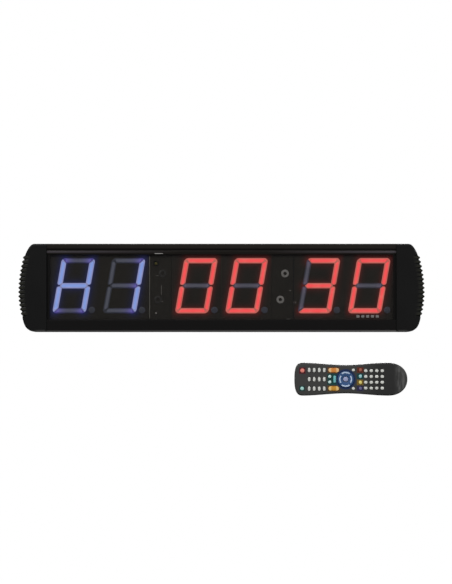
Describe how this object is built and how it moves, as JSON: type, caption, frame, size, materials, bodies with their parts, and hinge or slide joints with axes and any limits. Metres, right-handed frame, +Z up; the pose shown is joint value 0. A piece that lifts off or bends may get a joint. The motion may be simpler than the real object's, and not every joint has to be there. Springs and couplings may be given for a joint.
{
  "type": "gym round timer",
  "caption": "Wide wall-mounted LED round timer with big seven-segment digits behind a smoked lens, ribbed end caps and a keypad remote.",
  "frame": {"origin": "middle of the rear panel's flat back face, which lies on the wall", "axes": "+X to the right as one faces the display, +Y into the wall, +Z up; the display looks along -Y"},
  "size_m": [0.732, 0.045, 0.2742],
  "materials": {
    "black_aluminium": "satin black anodised extrusion",
    "black_plastic": "fine moulded texture",
    "smoked_lens": "polished smoked acrylic",
    "display_face": "matt printed face",
    "unlit_segment": "frosted resin, off",
    "blue_light": "frosted resin, lit blue",
    "red_light": "frosted resin, lit red",
    "lamp_resin": "clear tinted resin",
    "circuit_board": "solder mask",
    "dark_screw": "blackened steel",
    "steel_screw": "zinc plated",
    "nickel": "polished nickel",
    "grey_cable": "matt",
    "remote_shell": "fine moulded texture",
    "cell_jacket": "printed film",
    "nav_blue": "silk",
    "key_white": "silk",
    "key_red": "silk",
    "key_green": "silk",
    "key_orange": "silk",
    "key_amber": "silk",
    "key_teal": "silk",
    "key_cyan": "silk",
    "key_yellow": "silk",
    "key_blue": "silk"
  },
  "bodies": {
    "timer": {"top_rail": "black_aluminium", "bottom_rail": "black_aluminium", "rear_panel": "black_aluminium", "end_cap_left": "black_plastic", "end_cap_right": "black_plastic", "front_lens": "smoked_lens", "ir_receiver": "lamp_resin", "buzzer": "black_plastic", "backup_cell": "nickel", "power_jack": "black_plastic", "ribbon_cable": "grey_cable", "digit_1_display": "display_face", "digit_2_display": "display_face", "digit_3_display": "display_face", "digit_4_display": "display_face", "digit_5_display": "display_face", "digit_6_display": "display_face", "colon_left_display": "display_face", "colon_right_display": "display_face", "display_board_left": "circuit_board", "display_board_middle": "circuit_board", "display_board_right": "circuit_board", "control_board": "circuit_board", "cap_screw_left_top": "dark_screw", "cap_screw_left_bottom": "dark_screw", "cap_screw_right_top": "dark_screw", "cap_screw_right_bottom": "dark_screw", "rear_screw_left_top": "steel_screw", "rear_screw_left_bottom": "steel_screw", "rear_screw_right_top": "steel_screw", "rear_screw_right_bottom": "steel_screw"},
    "remote": {"remote_top_shell": "remote_shell", "remote_bottom_shell": "remote_shell", "remote_board": "circuit_board", "ir_emitter": "lamp_resin", "battery_upper": "cell_jacket", "battery_lower": "cell_jacket"},
    "battery_cover": {"battery_cover": "remote_shell"},
    "nav_ring": {"nav_ring": "nav_blue"},
    "ok_key": {"ok_key": "key_white"},
    "power_key": {"power_key": "key_red"},
    "green_key": {"green_key": "key_green"},
    "orange_rocker": {"orange_rocker": "key_orange"},
    "amber_rocker": {"amber_rocker": "key_amber"},
    "teal_key_upper": {"teal_key_upper": "key_teal"},
    "teal_key_lower": {"teal_key_lower": "key_teal"},
    "teal_bar_key": {"teal_bar_key": "key_teal"},
    "white_key_upper": {"white_key_upper": "key_white"},
    "white_key_lower": {"white_key_lower": "key_white"},
    "red_key": {"red_key": "key_red"},
    "cyan_key": {"cyan_key": "key_cyan"},
    "yellow_key": {"yellow_key": "key_yellow"},
    "blue_key": {"blue_key": "key_blue"},
    "number_keys_top": {"number_keys_top": "key_white"},
    "number_keys_middle": {"number_keys_middle": "key_white"},
    "number_keys_bottom": {"number_keys_bottom": "key_white"},
    "menu_keys_top": {"menu_keys_top": "key_white"},
    "menu_keys_upper": {"menu_keys_upper": "key_white"},
    "menu_keys_lower": {"menu_keys_lower": "key_white"},
    "menu_keys_bottom": {"menu_keys_bottom": "key_white"}
  },
  "joints": [
    {"name": "remote_lift", "type": "slide", "parent": "timer", "child": "remote", "axis": [0, -1, 0], "range_m": [0, 0.25]},
    {"name": "cover_slide", "type": "slide", "parent": "remote", "child": "battery_cover", "axis": [1, 0, 0], "range_m": [0, 0.08]},
    {"name": "nav_tilt", "type": "hinge", "parent": "remote", "child": "nav_ring", "pos_m": [0.2243, -0.021, -0.165], "axis": [1, 0, 0], "range_deg": [-3, 3], "stiffness_Nm_per_rad": 0.05},
    {"name": "ok_press", "type": "slide", "parent": "remote", "child": "ok_key", "axis": [0, 1, 0], "range_m": [0, 0.0012], "stiffness_N_per_m": 400},
    {"name": "power_press", "type": "slide", "parent": "remote", "child": "power_key", "axis": [0, 1, 0], "range_m": [0, 0.0012], "stiffness_N_per_m": 400},
    {"name": "green_press", "type": "slide", "parent": "remote", "child": "green_key", "axis": [0, 1, 0], "range_m": [0, 0.0012], "stiffness_N_per_m": 400},
    {"name": "orange_rock", "type": "hinge", "parent": "remote", "child": "orange_rocker", "pos_m": [0.2026, -0.02, -0.1487], "axis": [0, 0, 1], "range_deg": [-4, 4], "stiffness_Nm_per_rad": 0.03},
    {"name": "amber_rock", "type": "hinge", "parent": "remote", "child": "amber_rocker", "pos_m": [0.2026, -0.02, -0.1817], "axis": [0, 0, 1], "range_deg": [-4, 4], "stiffness_Nm_per_rad": 0.03},
    {"name": "teal_upper_press", "type": "slide", "parent": "remote", "child": "teal_key_upper", "axis": [0, 1, 0], "range_m": [0, 0.0012], "stiffness_N_per_m": 400},
    {"name": "teal_lower_press", "type": "slide", "parent": "remote", "child": "teal_key_lower", "axis": [0, 1, 0], "range_m": [0, 0.0012], "stiffness_N_per_m": 400},
    {"name": "teal_bar_press", "type": "slide", "parent": "remote", "child": "teal_bar_key", "axis": [0, 1, 0], "range_m": [0, 0.0012], "stiffness_N_per_m": 400},
    {"name": "white_upper_press", "type": "slide", "parent": "remote", "child": "white_key_upper", "axis": [0, 1, 0], "range_m": [0, 0.0012], "stiffness_N_per_m": 400},
    {"name": "white_lower_press", "type": "slide", "parent": "remote", "child": "white_key_lower", "axis": [0, 1, 0], "range_m": [0, 0.0012], "stiffness_N_per_m": 400},
    {"name": "red_press", "type": "slide", "parent": "remote", "child": "red_key", "axis": [0, 1, 0], "range_m": [0, 0.0012], "stiffness_N_per_m": 400},
    {"name": "cyan_press", "type": "slide", "parent": "remote", "child": "cyan_key", "axis": [0, 1, 0], "range_m": [0, 0.0012], "stiffness_N_per_m": 400},
    {"name": "yellow_press", "type": "slide", "parent": "remote", "child": "yellow_key", "axis": [0, 1, 0], "range_m": [0, 0.0012], "stiffness_N_per_m": 400},
    {"name": "blue_press", "type": "slide", "parent": "remote", "child": "blue_key", "axis": [0, 1, 0], "range_m": [0, 0.0012], "stiffness_N_per_m": 400},
    {"name": "number_keys_top_press", "type": "slide", "parent": "remote", "child": "number_keys_top", "axis": [0, 1, 0], "range_m": [0, 0.0012], "stiffness_N_per_m": 400},
    {"name": "number_keys_middle_press", "type": "slide", "parent": "remote", "child": "number_keys_middle", "axis": [0, 1, 0], "range_m": [0, 0.0012], "stiffness_N_per_m": 400},
    {"name": "number_keys_bottom_press", "type": "slide", "parent": "remote", "child": "number_keys_bottom", "axis": [0, 1, 0], "range_m": [0, 0.0012], "stiffness_N_per_m": 400},
    {"name": "menu_keys_top_press", "type": "slide", "parent": "remote", "child": "menu_keys_top", "axis": [0, 1, 0], "range_m": [0, 0.0012], "stiffness_N_per_m": 400},
    {"name": "menu_keys_upper_press", "type": "slide", "parent": "remote", "child": "menu_keys_upper", "axis": [0, 1, 0], "range_m": [0, 0.0012], "stiffness_N_per_m": 400},
    {"name": "menu_keys_lower_press", "type": "slide", "parent": "remote", "child": "menu_keys_lower", "axis": [0, 1, 0], "range_m": [0, 0.0012], "stiffness_N_per_m": 400},
    {"name": "menu_keys_bottom_press", "type": "slide", "parent": "remote", "child": "menu_keys_bottom", "axis": [0, 1, 0], "range_m": [0, 0.0012], "stiffness_N_per_m": 400}
  ]
}
